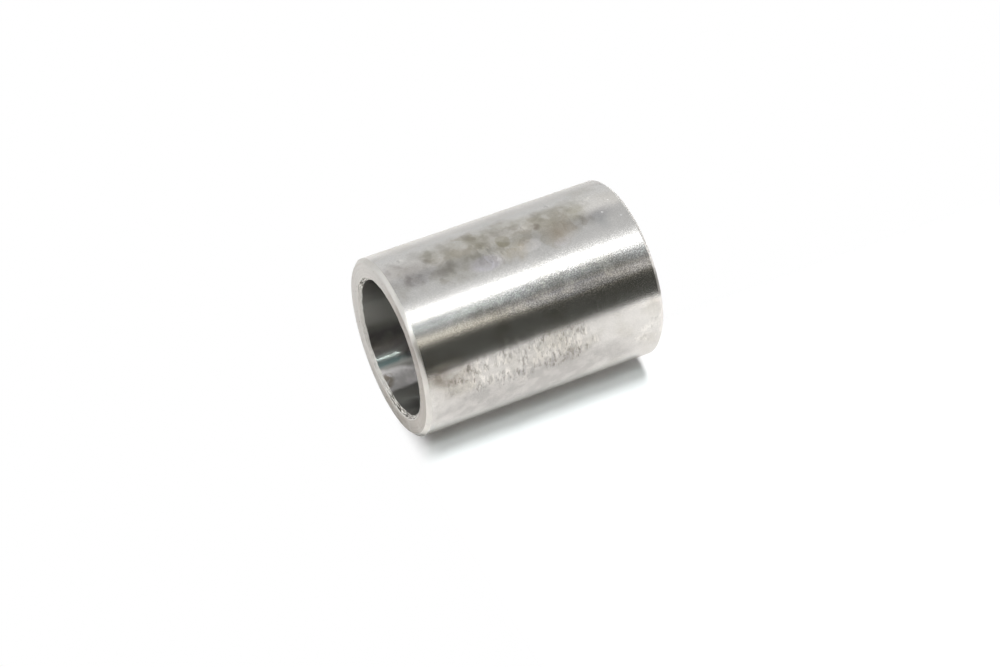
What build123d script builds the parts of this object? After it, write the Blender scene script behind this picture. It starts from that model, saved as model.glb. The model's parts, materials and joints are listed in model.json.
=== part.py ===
"""Spacer sleeve: a plain steel tube with ground sides, faced ends and small chamfers.

Units are millimetres.  The sleeve stands on one end with its axis on +Z, and the
origin is the middle of the end face it stands on.
"""
import os

from build123d import *

os.makedirs("parts", exist_ok=True)

bore_diameter = 19.0    # clears the bolt or shaft that passes through
wall = 3.0              # from the bore to the ground outside
length = 35.0           # the distance that the sleeve holds open
edge_chamfer = 0.5      # 45 degrees, breaks the outer edge of both end faces
bore_chamfer = 0.5      # 45 degrees, leads into the bore from both ends

bore_radius = bore_diameter / 2
outer_radius = bore_radius + wall

with BuildPart() as sleeve:
    # Blank: solid bar cut to length.
    with BuildSketch():
        Circle(outer_radius)
    extrude(amount=length)

    # Outer edges are broken while they are the only two circles on the bar.
    outer_edges = sleeve.edges().filter_by(GeomType.CIRCLE)
    chamfer(outer_edges, length=edge_chamfer)

    # Bore, right through from the top face.
    with Locations(sleeve.faces().sort_by(Axis.Z)[-1]):
        Hole(radius=bore_radius)

    # Bore edges: the smaller circle of each end face.
    ends = sleeve.faces().filter_by(GeomType.PLANE)
    bore_edges = [end.edges().sort_by(SortBy.RADIUS)[0] for end in ends]
    chamfer(bore_edges, length=bore_chamfer)

sleeve.part.label = "sleeve"
export_step(sleeve.part, "parts/sleeve.step")
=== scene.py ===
"""Looks of a ground steel spacer sleeve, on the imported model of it."""

import json
import math

import bmesh
import bpy
from mathutils import Matrix, Vector, noise


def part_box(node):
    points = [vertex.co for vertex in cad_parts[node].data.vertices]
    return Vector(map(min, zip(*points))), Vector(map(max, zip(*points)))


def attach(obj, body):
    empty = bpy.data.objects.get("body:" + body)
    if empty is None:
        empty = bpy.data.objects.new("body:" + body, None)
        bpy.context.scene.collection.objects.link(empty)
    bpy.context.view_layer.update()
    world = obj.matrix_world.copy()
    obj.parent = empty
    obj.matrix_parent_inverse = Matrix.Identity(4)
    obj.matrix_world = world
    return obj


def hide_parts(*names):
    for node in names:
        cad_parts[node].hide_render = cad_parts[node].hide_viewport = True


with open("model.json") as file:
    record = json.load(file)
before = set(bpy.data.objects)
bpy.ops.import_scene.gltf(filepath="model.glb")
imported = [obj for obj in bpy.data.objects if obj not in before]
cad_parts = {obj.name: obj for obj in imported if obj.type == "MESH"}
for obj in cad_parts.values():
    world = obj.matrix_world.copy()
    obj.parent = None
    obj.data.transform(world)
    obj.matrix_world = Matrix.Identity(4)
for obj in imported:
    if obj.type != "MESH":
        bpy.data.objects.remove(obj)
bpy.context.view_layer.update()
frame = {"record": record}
scene = bpy.context.scene

# --- The turned tube -------------------------------------------------------------------
# A length of steel bar, bored through, faced square at both ends and broken at its edges
# with small chamfers.  The bore's chamfers are cut by hand, so their width wanders.
lowest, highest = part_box("sleeve")
length = highest.z - lowest.z
outer_radius = (highest.x - lowest.x) / 2
round_mounts = {mount["name"]: mount["dims"] for mount in frame["record"]["mounts"] if mount["dims"]}
bore_radius = round_mounts["bore"]["r_mm"] / 1000
bore_chamfer = (length - round_mounts["bore"]["length_mm"] / 1000) / 2
edge_chamfer = (length - round_mounts["outside"]["length_mm"] / 1000) / 2
edge_break = 0.00004        # the hairline left where a file or cloth has taken off the burr
mouth_break = 0.00009       # the wider, bright one round each mouth of the bore
hand_wander = 0.00009       # how far the bore's chamfer strays from its true width
facets_round = 384
same_place = 1e-7           # points closer than this are one
same_circle = 1e-6          # and so are radii
squarely = 0.99             # cosine over which a face counts as facing along or out from the axis
sloping = 0.85              # cosine under which it leans away from the ends, as a chamfer does

GROUND, FACED, BROKEN, BORED, RIM = range(5)     # in the order of the material sections below


def finish_of(face):
    """The finish of one face, told by the way that it faces and by its distance from the axis."""
    middle = face.calc_center_median()
    outward = face.normal.dot(middle.xy.normalized().to_3d())
    if abs(face.normal.z) > squarely:
        return FACED
    if abs(outward) > squarely:
        return GROUND if outward > 0 else BORED
    if abs(face.normal.z) < sloping and middle.xy.length < (bore_radius + outer_radius) / 2:
        return RIM
    return BROKEN


def between(mesh, one, other):
    """The edges where two finishes meet."""
    return [edge for edge in mesh.edges if {finish_of(face) for face in edge.link_faces} == {one, other}]


def rims(mesh, radius):
    """The circle edges at one radius, on both end faces."""
    return [edge for edge in mesh.edges
            if abs(edge.verts[0].co.z - edge.verts[1].co.z) < same_place
            and all(abs(vert.co.xy.length - radius) < same_circle for vert in edge.verts)]


def cut(mesh, edges, width, segments=1):
    """Takes the corner off some edges, this far back on each side."""
    bmesh.ops.bevel(mesh, geom=edges, offset=width, offset_type="OFFSET",
                    segments=segments, profile=0.5, affect="EDGES", material=-1)


def waver(round_it, ripples, row):
    """Smooth noise of either sign round the axis; each row of it is different."""
    return noise.noise(Vector((round_it.x * ripples, round_it.y * ripples, row)))


def let_bore_chamfers_wander(mesh):
    """Moves both edges of each bore chamfer by smooth noise: one in radius, one along the bore."""
    rows_a_metre = 100      # far enough apart that the two mouths differ
    for vert in mesh.verts:
        radius = vert.co.xy.length
        round_it = vert.co.xy.normalized()
        at_face = abs(radius - bore_radius - bore_chamfer) < same_circle
        in_bore = abs(radius - bore_radius) < same_circle
        if at_face:
            stray = waver(round_it, 9, vert.co.z * rows_a_metre) + waver(round_it, 31, 5) / 2
            vert.co.xy = round_it * (radius + hand_wander * stray)
        elif in_bore:
            inward = 1 if vert.co.z < length / 2 else -1
            vert.co.z += inward * hand_wander * waver(round_it, 7, 9 + vert.co.z * rows_a_metre)


def turned_tube():
    """Spins the wall's rectangle round the axis and cuts the chamfers and the edge breaks."""
    mesh = bmesh.new()
    corners = [(bore_radius, 0), (outer_radius, 0), (outer_radius, length), (bore_radius, length)]
    wall = mesh.faces.new([mesh.verts.new((radius, 0, height)) for radius, height in corners])
    bmesh.ops.delete(mesh, geom=[wall], context="FACES_ONLY")
    bmesh.ops.spin(mesh, geom=mesh.verts[:] + mesh.edges[:], cent=(0, 0, 0), axis=(0, 0, 1),
                   angle=math.tau, steps=facets_round, use_merge=True)
    bmesh.ops.remove_doubles(mesh, verts=mesh.verts, dist=same_place)
    bmesh.ops.recalc_face_normals(mesh, faces=mesh.faces)
    cut(mesh, rims(mesh, outer_radius), edge_chamfer)
    cut(mesh, rims(mesh, bore_radius), bore_chamfer)
    let_bore_chamfers_wander(mesh)
    mesh.normal_update()
    cut(mesh, between(mesh, FACED, RIM), mouth_break)
    for edge in between(mesh, BORED, RIM):
        edge.smooth = False
    sharp = [edge for edge in mesh.edges
             if edge.smooth and len(edge.link_faces) == 2 and edge.calc_face_angle() > math.radians(30)]
    cut(mesh, sharp, edge_break, segments=2)
    mesh.normal_update()
    for face in mesh.faces:
        face.smooth = True
        face.material_index = finish_of(face)
    return mesh


tube_mesh = bpy.data.meshes.new("ground_sleeve")
tube = turned_tube()
tube.to_mesh(tube_mesh)
tube.free()
sleeve = bpy.data.objects.new("ground_sleeve", tube_mesh)
scene.collection.objects.link(sleeve)
flat_walls = sleeve.modifiers.new("flat_walls", "WEIGHTED_NORMAL")
flat_walls.weight = 100
flat_walls.keep_sharp = True
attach(sleeve, "root")
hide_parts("sleeve")


# --- Ground outside ----------------------------------------------------------------------
# Centreless grinding leaves the outside bright, with hair-fine lines round the axis.  Skin
# oil and coolant have tarnished it since, in cloudy patches and in small dark flecks.
def add(tree, kind, inputs=None, **settings):
    """A shader node with its settings; an input given as a socket is linked, else it is set."""
    made = tree.nodes.new(kind)
    for name, value in settings.items():
        setattr(made, name, value)
    for name, value in (inputs or {}).items():
        if isinstance(value, bpy.types.NodeSocket):
            tree.links.new(value, made.inputs[name])
        else:
            made.inputs[name].default_value = value
    return made


def maths(tree, operation, first, second=0.0, third=0.0, clamp=False):
    """The output of one Math node."""
    return add(tree, "ShaderNodeMath", {0: first, 1: second, 2: third},
               operation=operation, use_clamp=clamp).outputs[0]


def times(tree, first, second):
    """Two masks or amounts multiplied."""
    return maths(tree, "MULTIPLY", first, second)


def ramp(tree, value, low, high, to_low=0.0, to_high=1.0):
    """A smooth step from to_low to to_high while the value goes from low to high."""
    return add(tree, "ShaderNodeMapRange", {
        "Value": value, "From Min": low, "From Max": high, "To Min": to_low, "To Max": to_high},
        interpolation_type="SMOOTHSTEP").outputs["Result"]


def mixed(tree, how, mask, first, second):
    """One colour into another as the mask goes from 0 to 1; the first can be a socket."""
    if not isinstance(first, bpy.types.NodeSocket):
        first = (*first, 1)
    return add(tree, "ShaderNodeMix", {0: mask, 6: first, 7: (*second, 1)},
               data_type="RGBA", blend_type=how).outputs[2]


def blend(tree, mask, first, second):
    """The first colour, giving way to the second where the mask is 1."""
    return mixed(tree, "MIX", mask, first, second)


def tint(tree, colour, mask, towards):
    """The colour, multiplied by another where the mask is 1."""
    return mixed(tree, "MULTIPLY", mask, colour, towards)


def position(tree):
    """The place on the object."""
    return add(tree, "ShaderNodeTexCoord").outputs["Object"]


def axes(tree, vector):
    """The X, Y and Z of a vector."""
    return add(tree, "ShaderNodeSeparateXYZ", {"Vector": vector}).outputs


def effect(name, takes, gives):
    """A node group with named numbers going in and coming out."""
    tree = bpy.data.node_groups.new(name, "ShaderNodeTree")
    for label, value in takes.items():
        tree.interface.new_socket(label, in_out="INPUT", socket_type="NodeSocketFloat").default_value = value
    for label in gives:
        tree.interface.new_socket(label, in_out="OUTPUT", socket_type="NodeSocketFloat")
    return tree, tree.nodes.new("NodeGroupInput").outputs, tree.nodes.new("NodeGroupOutput").inputs


def placed(tree, group, **values):
    """A node group put into a material with its own values; gives its outputs."""
    node = tree.nodes.new("ShaderNodeGroup")
    node.node_tree = group
    for name, value in values.items():
        node.inputs[name.replace("_", " ")].default_value = value
    return node.outputs


def lathe_lines():
    """Noise drawn out round the axis, as a wheel or a tool leaves it on walls, ends and chamfers."""
    tree, given, out = effect("lathe_lines", {"Pitch": 0.0002, "Run": 6.0, "Start": 0.0}, ["Height"])
    place = position(tree)
    part = axes(tree, place)
    reach = add(tree, "ShaderNodeVectorMath", {0: place, 1: (1, 1, 0)}, operation="MULTIPLY").outputs[0]
    radius = add(tree, "ShaderNodeVectorMath", {0: reach}, operation="LENGTH").outputs["Value"]
    radius_share = 2.3      # not 1, which would lose the lines on a chamfer of 45 degrees
    along = maths(tree, "MULTIPLY_ADD", radius, radius_share, part["Z"])
    run = times(tree, given["Pitch"], given["Run"])
    stretched = add(tree, "ShaderNodeCombineXYZ", {
        "X": maths(tree, "DIVIDE", part["X"], run),
        "Y": maths(tree, "DIVIDE", part["Y"], run),
        "Z": maths(tree, "ADD", maths(tree, "DIVIDE", along, given["Pitch"]), given["Start"])}).outputs[0]
    grain = add(tree, "ShaderNodeTexNoise", {
        "Vector": stretched, "Scale": 1.0, "Detail": 2.0, "Roughness": 0.6})
    tree.links.new(grain.outputs["Fac"], out["Height"])
    return tree


def patch():
    """A soft-edged patch on a round wall: degrees from -X over -Y, and metres from the standing end."""
    tree, given, out = effect("patch", {
        "Angle": 0.0, "Height": 0.0, "Half Angle": 10.0, "Half Height": 0.002,
        "Ragged": 0.5, "Blur": 0.3}, ["Mask"])
    place = position(tree)
    part = axes(tree, place)
    turned = maths(tree, "DEGREES", maths(tree, "ARCTAN2", times(tree, part["Y"], -1.0),
                                          times(tree, part["X"], -1.0)))
    round_it = maths(tree, "DIVIDE", maths(tree, "SUBTRACT", turned, given["Angle"]), given["Half Angle"])
    along = maths(tree, "DIVIDE", maths(tree, "SUBTRACT", part["Z"], given["Height"]), given["Half Height"])
    edge = add(tree, "ShaderNodeTexNoise", {
        "Vector": place, "Scale": 400.0, "Detail": 2.0, "Roughness": 0.5}).outputs["Fac"]
    stray = times(tree, maths(tree, "SUBTRACT", edge, 0.5), given["Ragged"])
    squares = maths(tree, "ADD", times(tree, round_it, round_it), times(tree, along, along))
    span = maths(tree, "SQRT", squares)
    inside = maths(tree, "SUBTRACT", 1.0, maths(tree, "MULTIPLY_ADD", stray, 3.0, span))
    soft = maths(tree, "DIVIDE", inside, given["Blur"], clamp=True)
    cloud = add(tree, "ShaderNodeTexNoise", {
        "Vector": place, "Scale": 520.0, "Detail": 2.0, "Roughness": 0.5}).outputs["Fac"]
    thin = ramp(tree, cloud, 0.35, 0.55, 0.6, 1.0)
    tree.links.new(times(tree, soft, thin), out["Mask"])
    return tree


LINES = lathe_lines()
PATCH = patch()


def marks(tree, pitch, run, start=0.0):
    """Lathe lines this many metres apart, and run times as long; another start gives others."""
    return placed(tree, LINES, Pitch=pitch, Run=run, Start=start)["Height"]


def spot(tree, angle, height, half_angle, half_height, ragged, blur):
    """The mask of one patch, in degrees and metres."""
    return placed(tree, PATCH, Angle=angle, Height=height, Half_Angle=half_angle,
                  Half_Height=half_height, Ragged=ragged, Blur=blur)["Mask"]


def steel(name, slow_roughness, grooves):
    """Bare steel whose fine marks run round the axis, so it spreads light along the axis."""
    material = bpy.data.materials.new(name)
    material.use_nodes = True
    tree = material.node_tree
    tree.nodes.clear()
    shader = add(tree, "ShaderNodeBsdfPrincipled", {
        "Metallic": 1.0, "Roughness": slow_roughness, "Anisotropic": grooves, "Anisotropic Rotation": 0.25})
    add(tree, "ShaderNodeOutputMaterial", {"Surface": shader.outputs["BSDF"]})
    sleeve.data.materials.append(material)
    return tree, shader.inputs


def relief(tree, shader, height, depth):
    """Marks that catch the light, about this many metres deep."""
    bump = add(tree, "ShaderNodeBump", {"Strength": 1.0, "Distance": depth, "Height": height})
    tree.links.new(bump.outputs["Normal"], shader["Normal"])


def clouds(tree, size, detail=3.0):
    """Plain cloudy noise, 0 to 1, whose lumps are about this many metres across."""
    place = position(tree)
    return add(tree, "ShaderNodeTexNoise", {
        "Vector": place, "Scale": 1 / size, "Detail": detail, "Roughness": 0.55}).outputs["Fac"]


def cells(tree, size):
    """Soft-edged patches about this many metres across, each with a value of its own from 0 to 1."""
    place = position(tree)
    stray = add(tree, "ShaderNodeTexNoise", {"Vector": place, "Scale": 1.3 / size, "Detail": 2.0})
    pushed = add(tree, "ShaderNodeVectorMath", {0: stray.outputs["Color"], 1: (size * 0.7,) * 3},
                 operation="MULTIPLY").outputs[0]
    moved = add(tree, "ShaderNodeVectorMath", {0: place, 1: pushed}, operation="ADD").outputs[0]
    cell = add(tree, "ShaderNodeTexVoronoi", {"Vector": moved, "Scale": 1 / size, "Smoothness": 0.25},
               feature="SMOOTH_F1")
    return add(tree, "ShaderNodeSeparateColor", {"Color": cell.outputs["Color"]}).outputs["Red"]


# Each stain, and each mark of painted light among them: angle, height in mm, half angle, half height in mm,
# ragged, blur, and its tint.
stains_and_painted_light = [
    (93, 19.5, 20, 15.5, 0.2, 0.7, (0.67, 0.66, 0.62)),          # olive haze all along the top
    (92, 31.0, 15, 6.5, 0.3, 0.9, (0.72, 0.71, 0.72)),           # greyer towards the open end
    (98.5, 27.7, 8, 1.7, 0.25, 0.4, (0.66, 0.65, 0.6)),          # olive patch near the open end
    (95, 25.4, 8, 1.3, 0.36, 0.91, (0.8624, 0.8568, 0.8256)),    # its paler neighbour
    (98, 21.2, 9, 1.9, 0.15, 0.4, (0.72, 0.71, 0.66)),           # second olive patch
    (90.3, 18.0, 5.8, 1.1, 0.15, 0.26, (0.75, 0.735, 0.657)),    # small diamond with a clear edge
    (92, 20.0, 3, 0.5, 0.3, 0.65, (0.766, 0.75, 0.735)),         # dark dot beside it
    (80, 16.7, 9, 1.2, 0.36, 1.0, (0.8947, 0.8524, 0.775)),      # brown run below it
    (96.7, 15.6, 2, 0.7, 0.48, 0.65, (0.7615, 0.7264, 0.7048)),  # dark fleck
    (93, 12.9, 4, 0.7, 0.54, 0.65, (0.7336, 0.6985, 0.6841)),    # dark fleck
    (98, 9.2, 12, 4.8, 0.36, 0.6, (0.72, 0.71, 0.67)),           # broad olive patch
    (94, 7.0, 9, 2.0, 0.36, 0.91, (0.8947, 0.8875, 0.8317)),     # its greener end
    (83, 10.6, 11, 3.0, 0.3, 1.0, (1.02, 0.95, 0.88)),           # rust-brown run under it
    (85, 29.1, 7, 5.0, 0.24, 1.0, (0.797, 0.789, 0.805)),        # violet-grey band
    (83, 31.6, 6, 1.2, 0.24, 1.0, (0.8452, 0.8389, 0.8596)),     # its darker end
    (79, 21.6, 6.5, 2.8, 0.12, 0.35, (1.1, 1.09, 1.19)),         # clean bluish stretch
    (81, 4.4, 9, 1.4, 0.3, 1.0, (0.8173, 0.8317, 0.8452)),       # blue-grey patch
    (52, 25.0, 6, 5.5, 0.4, 1.0, (0.72, 0.71, 0.68)),            # grey smear under the bright line
    (19, 32.0, 20, 5.5, 0.4, 1.0, (0.72, 0.69, 0.66)),           # pink-brown corner at the open end
    (-8, 19.5, 20, 18.0, 0.25, 0.4, (0.68, 0.675, 0.68)),        # broad dulled stretch low on the side
    (50, 7.0, 9.5, 22.0, 0.15, 0.6, (0.72, 0.72, 0.73)),         # greyer stretch beside the bright line
    (22, 33.0, 9, 5.5, 0.3, 0.9, (0.56, 0.55, 0.53)),            # soft brown edge at the open end
    (28, 32.5, 3, 4.0, 0.1, 0.9, (1.9, 1.88, 1.84)),             # paler line along it
    (-20, 31.5, 8, 3.5, 0.3, 0.8, (0.85, 0.85, 0.86)),           # grey near the open end, low down
    (8, 31.5, 9, 3.5, 0.3, 0.8, (0.89, 0.89, 0.89)),             # and higher up
    (48.5, 17.5, 2.5, 6.0, 0.2, 0.8, (0.84, 0.84, 0.87)),        # duller middle of the bright line
    (58, 17.5, 3, 6.0, 0.2, 0.8, (0.88, 0.88, 0.89)),            # and of the line above it
    (23, 2.0, 4, 5.0, 0.2, 0.8, (1.28, 1.27, 1.26)),             # clean line at the standing end
    (54, 2.0, 5, 5.0, 0.2, 0.8, (1.15, 1.15, 1.16)),             # clean patch at the standing end
    (55, 33.0, 3, 6.0, 0.2, 0.8, (0.78, 0.77, 0.78)),            # painted shade, dimming the spark lamp's reflection under the bright line
    (45.5, 9.0, 4.5, 15.0, 0.1, 0.4, (1.0, 1.03, 1.14)),         # cooler part of the bright line
    (141, 17.5, 9, 60.0, 0.0, 1.0, (1.2, 1.2, 1.24)),            # painted reflection: steel brightened all along the upper edge
    (43.5, 2.5, 2.2, 5.5, 0.2, 0.8, (1.3, 1.29, 1.27)),          # painted reflection: edge of the dark band brightened at the standing end
    (81, 15.0, 5, 1.8, 0.1, 0.25, (1.19, 1.18, 1.2)),            # pale square patch
    (76, 10.8, 3.5, 1.3, 0.1, 0.3, (1.08, 1.08, 1.12)),          # its smaller neighbour
    (8, 1.5, 32, 5.5, 0.3, 0.8, (1.1, 1.1, 1.1)),                # clean standing end
    (82, 17.5, 8, 4.0, 0.3, 0.9, (1.3, 1.27, 1.2)),              # warmer, paler stretch under the diamond
    (95, 32.0, 11, 4.5, 0.3, 0.9, (0.8, 0.79, 0.8)),             # grey by the open end
    (96, 17.5, 6, 3.5, 0.3, 0.9, (0.86, 0.85, 0.84)),            # and a patch of it over the diamond
    (21, 18.0, 5, 11.0, 0.3, 0.8, (0.85, 0.85, 0.85)),           # grey edge over the flecks
    (46.5, 3.5, 3, 7.0, 0.2, 0.7, (1.25, 1.23, 1.2)),            # painted reflection: the pale mirrored line brightened near the standing end
    (86.7, 3.7, 0.9, 0.2, 0.2, 0.5, (1.6, 1.6, 1.6)),            # painted glint
    (80, 1.6, 0.8, 0.18, 0.2, 0.5, (1.5, 1.5, 1.5)),             # painted glint
    (95, 1.9, 0.7, 0.16, 0.2, 0.5, (1.4, 1.4, 1.4)),             # painted glint
    (87, 4.8, 7, 4.5, 0.3, 0.9, (0.82, 0.82, 0.84)),             # grey by the standing end
]
# Each size of blotch: metres across, the level below which it stays clean, and its tint.
blotches = [
    (0.0034, 0.35, (0.86, 0.85, 0.81)),
    (0.0021, 0.45, (0.88, 0.86, 0.83)),
    (0.0013, 0.50, (0.90, 0.90, 0.90)),
]
tree, shader = steel("ground_outside", 0.22, 1.0)
colour = blend(tree, ramp(tree, clouds(tree, 0.004), 0.35, 0.65), (0.80, 0.79, 0.77), (0.84, 0.83, 0.81))
dulled = ramp(tree, clouds(tree, 0.006, detail=4.0), 0.50, 0.72)
colour = tint(tree, colour, dulled, (0.86, 0.85, 0.82))
for angle, height, half_angle, half_height, ragged, blur, stain_and_light_tint in stains_and_painted_light:
    stain_and_light_mask = spot(tree, angle, height / 1000, half_angle, half_height / 1000, ragged, blur)
    colour = tint(tree, colour, stain_and_light_mask, stain_and_light_tint)
hazed = spot(tree, angle=91, height=0.0195, half_angle=22, half_height=0.0165, ragged=0.25, blur=0.35)
for size, clean_below, blotch in blotches:
    lumps = ramp(tree, cells(tree, size), clean_below, 1.0)
    colour = tint(tree, colour, times(tree, lumps, hazed), blotch)
flecked_side = spot(tree, angle=14, height=0.0205, half_angle=17, half_height=0.0125, ragged=0.5, blur=0.3)
colour = tint(tree, colour, flecked_side, (0.89, 0.885, 0.88))
clusters = ramp(tree, clouds(tree, 0.0022), 0.32, 0.52)
elsewhere = ramp(tree, clouds(tree, 0.0050), 0.60, 0.70, 0.0, 0.6)
flecked = maths(tree, "MAXIMUM", times(tree, flecked_side, clusters), elsewhere)
dark_flecks = times(tree, ramp(tree, marks(tree, 0.00042, 3.0), 0.52, 0.62), flecked)
pale_flecks = times(tree, ramp(tree, marks(tree, 0.00052, 3.0, start=40), 0.46, 0.55), flecked)
colour = tint(tree, colour, dark_flecks, (0.66, 0.65, 0.63))
colour = tint(tree, colour, pale_flecks, (1.27, 1.27, 1.26))
scored = spot(tree, angle=50, height=0.004, half_angle=24, half_height=0.030, ragged=0.1, blur=0.6)
scratching = maths(tree, "MULTIPLY_ADD", scored, 0.8, 0.2)
scratches = ramp(tree, marks(tree, 0.00020, 1.0, start=80), 0.42, 0.56)
colour = tint(tree, colour, times(tree, scratches, scratching), (0.66, 0.66, 0.66))
tree.links.new(colour, shader["Base Color"])
height = axes(tree, position(tree))["Z"]
clean_roughness = ramp(tree, height, 0.008, 0.034, 0.17, 0.195)
tree.links.new(maths(tree, "MULTIPLY_ADD", dark_flecks, 0.08, clean_roughness), shader["Roughness"])
coarse = marks(tree, 0.00018, 1.0)
fine = marks(tree, 0.00005, 1.4, start=20)
grain = maths(tree, "MULTIPLY_ADD", coarse, 1.2, fine)
relief(tree, shader, times(tree, grain, ramp(tree, height, 0.005, 0.032, 1.0, 0.6)), depth=0.0000065)

# --- Faced ends --------------------------------------------------------------------------
# The ends were faced in the lathe: a satin surface of rings that can just be seen, with a
# few pits.  The open end is browner low down and greyer near the top.
tree, shader = steel("faced_end", 0.36, 0.6)
rings = marks(tree, 0.00045, 30.0)
colour = blend(tree, ramp(tree, rings, 0.35, 0.65), (0.58, 0.57, 0.55), (0.655, 0.645, 0.625))
low_side = spot(tree, angle=-12, height=length, half_angle=112, half_height=0.004, ragged=0.12, blur=0.25)
colour = tint(tree, colour, low_side, (0.80, 0.765, 0.735))
near_top = spot(tree, angle=52, height=length, half_angle=30, half_height=0.004, ragged=0.2, blur=0.6)
colour = tint(tree, colour, near_top, (0.80, 0.79, 0.79))
pits = ramp(tree, clouds(tree, 0.0005, detail=1.0), 0.66, 0.72)
colour = tint(tree, colour, pits, (0.6, 0.58, 0.56))
tree.links.new(colour, shader["Base Color"])
relief(tree, shader, rings, depth=0.000012)

# --- Broken edges ------------------------------------------------------------------------
# The outside chamfers were cut last and touched with a file, so they are bright, most of all on the near
# side of the open end. Round the standing end the chamfer is brightened further as a painted reflection, and
# it holds some grime.
tree, shader = steel("broken_edge", 0.30, 0.5)
colour = blend(tree, clouds(tree, 0.001), (0.60, 0.59, 0.57), (0.71, 0.70, 0.67))
# Painted reflection: round the standing end the chamfer is brightened.
painted_sheen_standing_end = ramp(tree, axes(tree, position(tree))["Z"], 0.0015, 0.0008)
colour = tint(tree, colour, painted_sheen_standing_end, (1.48, 1.48, 1.50))
grime = spot(tree, angle=33, height=0.0004, half_angle=11, half_height=0.002, ragged=0.0, blur=0.3)
colour = tint(tree, colour, grime, (0.30, 0.30, 0.29))
rubbed = spot(tree, angle=-5, height=length, half_angle=36, half_height=0.003, ragged=0.1, blur=0.4)
colour = tint(tree, colour, rubbed, (1.25, 1.25, 1.24))
tree.links.new(colour, shader["Base Color"])
relief(tree, shader, marks(tree, 0.0003, 4.0), depth=0.00002)

# --- Bored inside ------------------------------------------------------------------------
# The bore is as the boring tool left it, darker than the outside, with painted shade on one side and deeper
# in, and a painted teal shade by the lamp's streak. Near its mouth coolant has dried as a duller film,
# painted pale where light falls in, with a brown crust in it.
tree, shader = steel("bored_inside", 0.28, 1.0)
colour = blend(tree, clouds(tree, 0.003), (0.40, 0.40, 0.38), (0.47, 0.47, 0.45))
# Painted shade: the wall on this side is darkened.
painted_bore_shade = spot(tree, angle=-139, height=length - 0.005, half_angle=14, half_height=0.020,
              ragged=0.1, blur=0.5)
colour = tint(tree, colour, painted_bore_shade, (0.60, 0.57, 0.62))
# Painted shade, darker deeper in the bore.
deep = spot(tree, angle=-122, height=length - 0.0082, half_angle=10, half_height=0.0052,
            ragged=0.1, blur=0.35)
colour = tint(tree, colour, deep, (0.42, 0.38, 0.39))
# Painted shade with a teal tint, standing in for the teal light round the lamp's streak.
painted_teal_shade = spot(tree, angle=-120.5, height=length - 0.002, half_angle=4.5, half_height=0.006,
            ragged=0.1, blur=0.7)
colour = tint(tree, colour, painted_teal_shade, (0.42, 0.56, 0.58))
# A duller, less metallic film, painted pale where light falls in through the mouth.
film_and_painted_light = spot(tree, angle=-104.5, height=length - 0.0015, half_angle=12, half_height=0.006,
            ragged=0.15, blur=0.3)
colour = blend(tree, film_and_painted_light, colour, (1.0, 0.97, 0.97))
scab = spot(tree, angle=-105, height=length - 0.0013, half_angle=8, half_height=0.0014,
            ragged=0.8, blur=0.6)
crust = times(tree, scab, ramp(tree, clouds(tree, 0.0007), 0.36, 0.50))
colour = tint(tree, colour, crust, (0.38, 0.30, 0.20))
tree.links.new(colour, shader["Base Color"])
tree.links.new(ramp(tree, film_and_painted_light, 0.0, 1.0, 1.0, 0.9), shader["Metallic"])
tree.links.new(ramp(tree, film_and_painted_light, 0.0, 1.0, 0.28, 0.48), shader["Roughness"])
relief(tree, shader, marks(tree, 0.0002, 12.0), depth=0.000006)

# --- Bore's edges ------------------------------------------------------------------------
# The chamfer into the bore was scraped by hand: grey like the ends, with a torn dark burr
# that comes and goes round it.
tree, shader = steel("bore_rim", 0.52, 0.3)
colour = blend(tree, clouds(tree, 0.001), (0.58, 0.57, 0.55), (0.74, 0.73, 0.70))
torn_low = spot(tree, angle=-60, height=length, half_angle=44, half_height=0.006, ragged=0.3, blur=0.4)
torn_high = spot(tree, angle=152, height=length, half_angle=17, half_height=0.006, ragged=0.2, blur=0.5)
torn = maths(tree, "MAXIMUM", torn_low, torn_high)
burr = marks(tree, 0.00020, 5.0)
dark_bits = times(tree, ramp(tree, burr, 0.50, 0.55), ramp(tree, torn, 0.0, 1.0, 0.2, 1.0))
smooth_bits = times(tree, ramp(tree, burr, 0.47, 0.42), torn)
colour = tint(tree, colour, dark_bits, (0.14, 0.13, 0.11))
colour = tint(tree, colour, smooth_bits, (1.35, 1.35, 1.34))
tree.links.new(colour, shader["Base Color"])
relief(tree, shader, marks(tree, 0.0003, 4.0), depth=0.00003)

# --- White sheet that the sleeve lies on -------------------------------------------------
# The sleeve stands on its end in its own frame, so the sheet that it lies on for the
# camera is upright here: it touches the side of the tube that faces +Y.
sheet_half = 2.0
upright = Matrix.Translation((0, outer_radius, length / 2)) @ Matrix.Rotation(math.radians(90), 4, "X")
sheet_bm = bmesh.new()
bmesh.ops.create_grid(sheet_bm, x_segments=1, y_segments=1, size=sheet_half, matrix=upright)
bmesh.ops.recalc_face_normals(sheet_bm, faces=sheet_bm.faces)
for face in sheet_bm.faces:
    if face.normal.y > 0:
        face.normal_flip()
sheet_mesh = bpy.data.meshes.new("white_sheet")
sheet_bm.to_mesh(sheet_mesh)
sheet_bm.free()
sheet = bpy.data.objects.new("white_sheet", sheet_mesh)
scene.collection.objects.link(sheet)
paper = bpy.data.materials.new("white_paper")
paper.use_nodes = True
tree = paper.node_tree
tree.nodes.clear()
part = axes(tree, position(tree))
ray = add(tree, "ShaderNodeLightPath").outputs


def switch(tree, amount, off, on):
    """One shader turning into another as the amount goes from 0 to 1."""
    made = add(tree, "ShaderNodeMixShader", {"Fac": amount})
    tree.links.new(off.outputs[0], made.inputs[1])
    tree.links.new(on.outputs[0], made.inputs[2])
    return made


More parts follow.
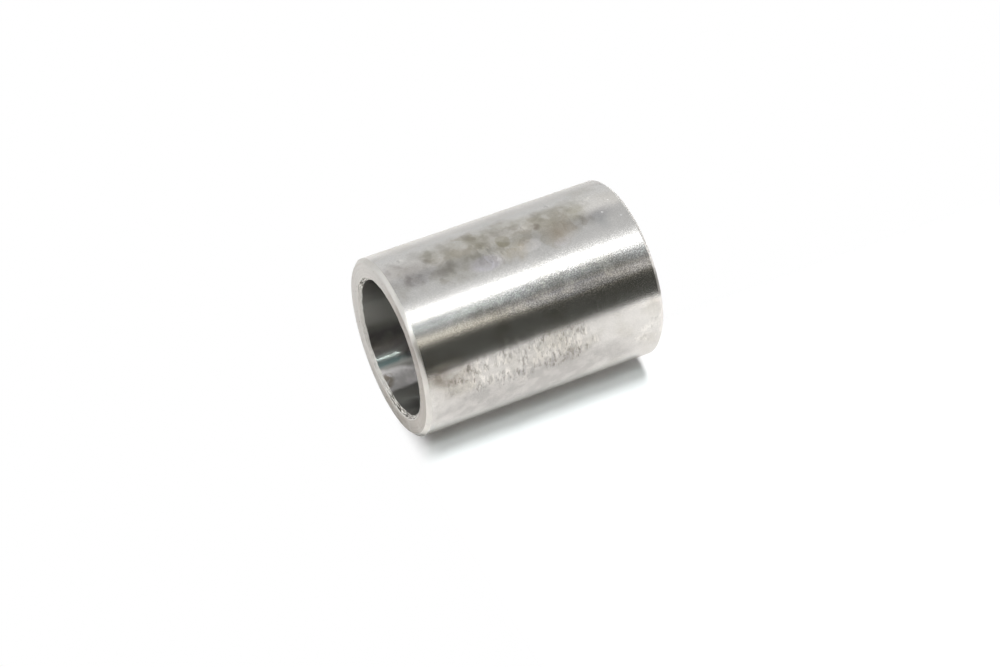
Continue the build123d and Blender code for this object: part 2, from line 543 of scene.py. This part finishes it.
# Painted shade on the sheet, seen only in the steel: greyer on the far side, and dark where it runs out by
# the camera.
unseen = maths(tree, "SUBTRACT", 1.0, ray["Is Camera Ray"])
painted_far_shade = times(tree, ramp(tree, part["X"], -0.01, 0.11), ramp(tree, part["Z"], 0.02, -0.02, 0.5, 1.0))
painted_dark_edge = ramp(tree, part["X"], -0.6, -1.3)
colour = blend(tree, ray["Is Camera Ray"], (0.815, 0.785, 0.765), (1.0, 1.0, 1.0))
colour = tint(tree, colour, times(tree, painted_far_shade, unseen), (0.71, 0.72, 0.73))
colour = tint(tree, colour, times(tree, painted_dark_edge, unseen), (0.1, 0.1, 0.1))
lit = add(tree, "ShaderNodeBsdfDiffuse", {"Color": colour})
# The camera sees the shadow on the near side only, and plain white past the open end.
past_end = ramp(tree, part["Z"], length - 0.0035, length + 0.0008)
far_half = ramp(tree, part["X"], -0.46 * outer_radius, -0.1 * outer_radius)
plain = times(tree, maths(tree, "MAXIMUM", far_half, past_end), ray["Is Camera Ray"])
glowing = add(tree, "ShaderNodeEmission", {"Color": (1, 1, 1, 1), "Strength": 1.0})
clear = add(tree, "ShaderNodeBsdfTransparent")
from_behind = add(tree, "ShaderNodeNewGeometry").outputs["Backfacing"]
one_sided = switch(tree, from_behind, switch(tree, plain, lit, glowing), clear)
add(tree, "ShaderNodeOutputMaterial", {"Surface": one_sided.outputs[0]})
sheet.data.materials.append(paper)


# --- Studio light --------------------------------------------------------------------------
# Cool soft tubes with faint warm edges light the sheet from over the sleeve, and a spark of a
# lamp looks into the bore.  The steel mirrors a soft box above, in a room that is dim on the
# camera's side and pale behind the sleeve.
def far_lamp(name, above_near_side, towards_open_end, width_degrees, share, colour, mirrored=False):
    """A lamp too far off to cast a spreading shadow; share is what it adds to a white sheet.

    The steel shows it only if it is mirrored.
    """
    around = math.radians(above_near_side)
    along = math.radians(towards_open_end)
    towards_lamp = Vector((-math.cos(around) * math.cos(along), -math.sin(around) * math.cos(along),
                           math.sin(along)))
    data = bpy.data.lights.new(name, "SUN")
    data.angle = math.radians(width_degrees)
    data.energy = share * math.pi / -towards_lamp.y
    data.color = colour
    lamp = bpy.data.objects.new(name, data)
    lamp.matrix_world = towards_lamp.to_track_quat("Z", "Y").to_matrix().to_4x4()
    lamp.visible_glossy = mirrored
    scene.collection.objects.link(lamp)


soft_tubes = 5
tube_width = 2.2        # in degrees; each tube starts where the last one ends
tube_slant = 2.0        # how many degrees further each leans towards the standing end
warm = (1.0, 0.82, 0.78)
for tube in range(soft_tubes):
    far_lamp(f"soft_tube_{tube}", 73.0 + tube_width * tube, 1.0 - tube_slant * tube, tube_width,
             0.57 / soft_tubes, (0.93, 0.985, 1.0))
far_lamp("warm_lamp_0", 84.8, -5.0, 3.0, 0.085, warm)
far_lamp("warm_lamp_1", 88.6, -2.0, 4.0, 0.060, warm)
far_lamp("warm_lamp_2", 92.7, 0.0, 5.0, 0.030, warm)
far_lamp("cool_lamp", 65.2, 1.5, 3.0, 0.165, (0.93, 0.98, 1.0))
far_lamp("spark", 60.3, 11.3, 1.7, 0.066, (0.84, 1.0, 0.99), mirrored=True)

far_horizon = (0.68, 0.68, 0.68)
# The room's light at so many degrees up from the camera's side over the top.
room_bands = [
    (0, (0.125, 0.125, 0.118)), (2.5, (0.092, 0.091, 0.084)), (6.5, (0.079, 0.079, 0.072)),
    (10.5, (0.08, 0.08, 0.072)), (14.5, (0.075, 0.075, 0.067)), (24, (0.075, 0.075, 0.066)),
    (30.5, (0.08, 0.079, 0.071)), (34.5, (0.12, 0.116, 0.104)), (38.5, (0.30, 0.285, 0.25)),
    (42.5, (0.88, 0.83, 0.72)), (45.5, (0.80, 0.76, 0.67)), (49.5, (0.39, 0.385, 0.375)),
    (54, (0.38, 0.385, 0.38)), (60, (0.43, 0.435, 0.435)), (66, (0.50, 0.505, 0.50)),
    (87, (0.58, 0.58, 0.58)), (100, (0.62, 0.62, 0.62)), (120, (0.56, 0.56, 0.56)),
    (129, (0.56, 0.56, 0.56)), (134, (0.80, 0.79, 0.77)), (150, (0.78, 0.77, 0.76)),
    (160, (0.72, 0.72, 0.71)), (170, (0.68, 0.68, 0.68)), (180, (0.68, 0.68, 0.68)),
]
world = bpy.data.worlds.new("studio")
scene.world = world
world.use_nodes = True
tree = world.node_tree
tree.nodes.clear()
part = axes(tree, add(tree, "ShaderNodeTexCoord").outputs["Generated"])
ray = add(tree, "ShaderNodeLightPath").outputs
bearing = maths(tree, "ARCTAN2", times(tree, part["Y"], -1.0), times(tree, part["X"], -1.0))
whole_turn = add(tree, "ShaderNodeMapRange", {"Value": bearing, "From Min": -math.pi, "From Max": math.pi})
bands = add(tree, "ShaderNodeValToRGB", {"Fac": whole_turn.outputs["Result"]})
stops = bands.color_ramp.elements
for stop, turned in zip(stops, (0.0, 1.0)):
    stop.position = turned
    stop.color = (*far_horizon, 1)
for degrees, light in room_bands:
    stops.new((degrees + 180) / 360).color = (*light, 1)


def sweep(low, high, to_low=0.0, to_high=1.0):
    """A smooth step between two bearings, in the degrees of the room's bands."""
    return ramp(tree, bearing, math.radians(low), math.radians(high), to_low, to_high)


off_square = maths(tree, "ABSOLUTE", maths(tree, "ADD", part["Z"], 0.3))
over_end = ramp(tree, part["Z"], 0.15, 0.50, 0.0, 1.15)
strength = maths(tree, "ADD", ramp(tree, off_square, 0.30, 0.8, 1.0, 0.3), over_end)
strength = times(tree, strength, ramp(tree, ray["Is Glossy Ray"], 0.0, 1.0, 0.40, 1.0))
room = add(tree, "ShaderNodeBackground", {"Color": bands.outputs["Color"], "Strength": strength})
box_edge = maths(tree, "ADD", sweep(62, 68, 0.0, 0.32), sweep(68, 73, 0.0, 1.35))
box_body = times(tree, box_edge, sweep(78, 83.5, 1.0, 0.0))
box_skirt = times(tree, sweep(80, 98, 0.55, 0.0), sweep(66, 71))
box_light = times(tree, maths(tree, "ADD", box_body, box_skirt), strength)
soft_box = add(tree, "ShaderNodeBackground", {
    "Color": (1, 1, 1, 1), "Strength": times(tree, box_light, ray["Is Glossy Ray"])})
around_it = add(tree, "ShaderNodeAddShader", {0: room.outputs[0], 1: soft_box.outputs[0]})
white = add(tree, "ShaderNodeBackground", {"Color": (1, 1, 1, 1), "Strength": 1.0})
seen = switch(tree, ray["Is Camera Ray"], around_it, white)
add(tree, "ShaderNodeOutputWorld", {"Surface": seen.outputs[0]})
scene.view_settings.view_transform = "Standard"

# --- Camera ----------------------------------------------------------------------------------
# It looks down on the lying sleeve from beside its open upper end, with a long lens.
camera_round = math.radians(63.8)       # from the direction that the open end faces, towards -X
camera_height = math.radians(46.6)      # above the sheet
camera_reach = 0.337                    # back from the sleeve's middle, along the line of sight
sleeve_right = 0.00084                  # the sleeve's middle, right of the line of sight
sleeve_above = 0.00359                  # and above it
side = Vector((0, 0, 1)) * math.cos(camera_round) - Vector((1, 0, 0)) * math.sin(camera_round)
over = Vector((0, -1, 0))
towards = side * math.cos(camera_height) + over * math.sin(camera_height)
right = over.cross(towards).normalized()
top = towards.cross(right)
middle = Vector((0, 0, length / 2))
camera_place = middle + towards * camera_reach - right * sleeve_right - top * sleeve_above
camera_data = bpy.data.cameras.new("camera")
camera_data.lens = 90
camera_data.sensor_width = 36
camera = bpy.data.objects.new("camera", camera_data)
camera.matrix_world = Matrix.Translation(camera_place) @ Matrix((right, top, towards)).transposed().to_4x4()
scene.collection.objects.link(camera)
scene.camera = camera
